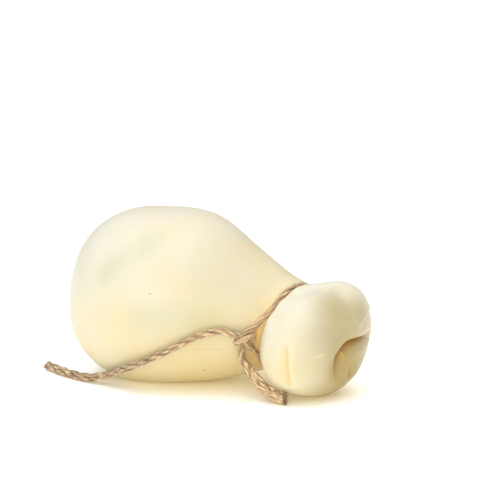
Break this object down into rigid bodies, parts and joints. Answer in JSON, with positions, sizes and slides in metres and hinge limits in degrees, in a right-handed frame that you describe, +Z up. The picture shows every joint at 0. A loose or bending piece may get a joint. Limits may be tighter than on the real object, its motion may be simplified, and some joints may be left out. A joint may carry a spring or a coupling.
{
  "type": "scamorza cheese",
  "caption": "Pear-shaped scamorza lying on its side, its neck tied with jute twine and its head folded over on itself.",
  "frame": {"origin": "the middle of the flat spot under the belly, on the surface the cheese lies on", "axes": "+X from the round base towards the tied neck and the head, +Z up as it lies, +Y to the left"},
  "size_m": [0.1462, 0.0782, 0.0758],
  "materials": {
    "fresh_curd": "smooth moist rind with a soft sheen",
    "jute": "plied jute twine, hairy and matt"
  },
  "bodies": {
    "root": {"cheese": "fresh_curd", "twine_tie": "jute", "twine_tail_long": "jute", "twine_tail_short": "jute"}
  },
  "joints": []
}
